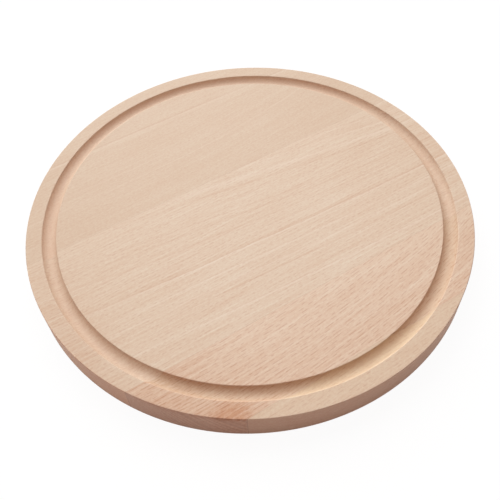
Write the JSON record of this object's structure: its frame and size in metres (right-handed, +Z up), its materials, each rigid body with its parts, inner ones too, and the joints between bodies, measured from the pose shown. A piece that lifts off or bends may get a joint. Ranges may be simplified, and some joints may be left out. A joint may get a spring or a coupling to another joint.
{
  "type": "round cutting board",
  "caption": "Round edge-glued beech cutting board with a flat rim and a shallow juice groove around its cutting face, for chopping and carving on a worktop.",
  "frame": {"origin": "centre of the underside, where the board rests on a worktop", "axes": "+X along the grain and the glue lines, +Y across the staves towards the wide back stave, +Z up out of the grooved cutting face"},
  "size_m": [0.3, 0.3, 0.021],
  "materials": {
    "beech_front": "planed and sanded, unoiled, smooth and yellowish",
    "beech_narrow": "planed and sanded, unoiled, pinkish with dense ray flecks",
    "beech_middle": "planed and sanded, unoiled, pale with growth-ring lines and ray flecks",
    "beech_back": "planed and sanded, unoiled, pale and even with faint growth-ring lines",
    "wood_glue": "cured translucent wood glue, sanded flush"
  },
  "bodies": {
    "root": {"front_stave": "beech_front", "narrow_stave": "beech_narrow", "middle_stave": "beech_middle", "back_stave": "beech_back", "front_glue_line": "wood_glue", "middle_glue_line": "wood_glue", "back_glue_line": "wood_glue"}
  },
  "joints": []
}
